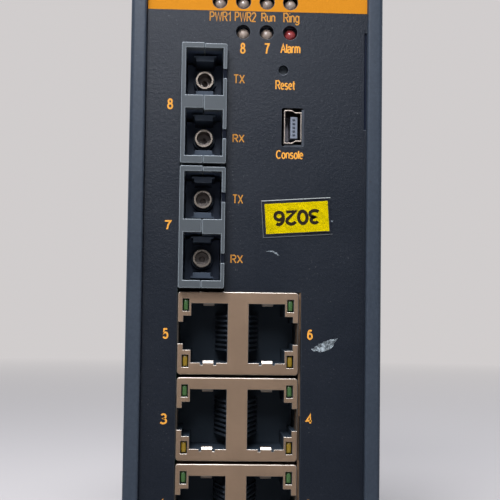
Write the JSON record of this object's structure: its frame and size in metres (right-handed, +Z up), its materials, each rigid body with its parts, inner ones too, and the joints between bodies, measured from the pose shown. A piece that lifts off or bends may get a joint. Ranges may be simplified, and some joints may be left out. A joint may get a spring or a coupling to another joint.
{
  "type": "din rail ethernet switch",
  "caption": "Slim metal-cased industrial network switch for a DIN rail, with stacked copper jacks, fibre transceivers, console port, reset button, terminal plug and sprung rail clip.",
  "frame": {"origin": "middle of the footprint, on the bottom plate's outer face", "axes": "+Z up along the case's height; the panel with the connectors faces -Y; the rail clip is on the +Y side; +X across the width"},
  "size_m": [0.0532, 0.1126, 0.145],
  "materials": {
    "case_coat": "smooth dark blue grey coat",
    "panel_coat": "fine textured dark blue grey powder coat with an orange band and print",
    "back_coat": "fine textured dark powder coat",
    "plate_coat": "fine textured dark powder coat, end plates",
    "black_screw": "black zinc",
    "bright_screw": "zinc plated",
    "cast_clip": "die cast, blasted",
    "spring_steel": "spring wire",
    "terminal_green": "moulded green plastic",
    "contact_tin": "tin plated",
    "contact_gold": "gold flash",
    "circuit_board": "green solder mask",
    "board_spacer": "nickel plated brass",
    "jack_tin": "tin plated, warm reflections",
    "jack_plastic": "black moulded plastic",
    "green_window": "translucent green",
    "yellow_window": "translucent amber",
    "optic_plastic": "dark grey moulded plastic",
    "optic_inner": "black moulded plastic",
    "sleeve_metal": "beige metal sleeve",
    "port_tin": "tin plated",
    "port_black": "black moulded plastic",
    "switch_black": "black moulded plastic",
    "lamp_clear": "clear lens, unlit",
    "lamp_red": "red lens, unlit",
    "label_yellow": "yellow tape",
    "label_clear": "clear film",
    "chip_black": "moulded package",
    "heatsink_black": "black anodised",
    "winding": "amber tape over a winding",
    "capacitor_sleeve": "shrink sleeve",
    "relay_white": "moulded white case"
  },
  "bodies": {
    "case": {"left_side_profile": "case_coat", "right_side_profile": "case_coat", "front_panel": "panel_coat", "back_panel": "back_coat", "top_plate": "plate_coat", "bottom_plate": "plate_coat", "top_plate_screws": "black_screw", "bottom_plate_screws": "black_screw", "ground_screw": "bright_screw", "ground_washer": "bright_screw", "rail_clip_base": "cast_clip", "latch_spring": "spring_steel", "rail_clip_screws": "bright_screw", "rail_clip_nuts": "bright_screw", "terminal_header": "terminal_green", "header_pins": "contact_tin", "main_board": "circuit_board", "power_board": "circuit_board", "indicator_board": "circuit_board", "link_board": "circuit_board", "board_spacers": "board_spacer", "board_screws": "bright_screw", "jack_upper_shield": "jack_tin", "jack_upper_housing": "jack_plastic", "jack_upper_contacts": "contact_gold", "jack_middle_shield": "jack_tin", "jack_middle_housing": "jack_plastic", "jack_middle_contacts": "contact_gold", "jack_lower_shield": "jack_tin", "jack_lower_housing": "jack_plastic", "jack_lower_contacts": "contact_gold", "jack_green_windows": "green_window", "jack_yellow_windows": "yellow_window", "optic_upper_left_shell": "optic_plastic", "optic_upper_right_shell": "optic_plastic", "optic_upper_adapters": "optic_inner", "optic_upper_sleeves": "sleeve_metal", "optic_lower_left_shell": "optic_plastic", "optic_lower_right_shell": "optic_plastic", "optic_lower_adapters": "optic_inner", "optic_lower_sleeves": "sleeve_metal", "console_shell": "port_tin", "console_tongue": "port_black", "console_contacts": "contact_gold", "reset_switch_body": "switch_black", "status_leds": "lamp_clear", "alarm_led": "lamp_red", "label_tape": "label_yellow", "label_film": "label_clear", "switch_chip": "chip_black", "chip_heatsink": "heatsink_black", "power_transformer": "winding", "power_capacitors": "capacitor_sleeve", "alarm_relay": "relay_white"},
    "reset_button": {"reset_button": "switch_black"},
    "rail_latch": {"rail_latch": "cast_clip"},
    "terminal_plug": {"terminal_plug": "terminal_green", "terminal_screws": "bright_screw", "terminal_clamps": "contact_tin"}
  },
  "joints": [
    {"name": "reset_press", "type": "slide", "parent": "case", "child": "reset_button", "axis": [0, 1, 0], "range_m": [0, 0.0003], "stiffness_N_per_m": 4000},
    {"name": "latch_pull", "type": "slide", "parent": "case", "child": "rail_latch", "axis": [0, 0, -1], "range_m": [0, 0.004], "stiffness_N_per_m": 3000, "deforming": ["latch_spring"]},
    {"name": "plug_pull", "type": "slide", "parent": "case", "child": "terminal_plug", "axis": [0, 0, 1], "range_m": [0, 0.012]}
  ]
}
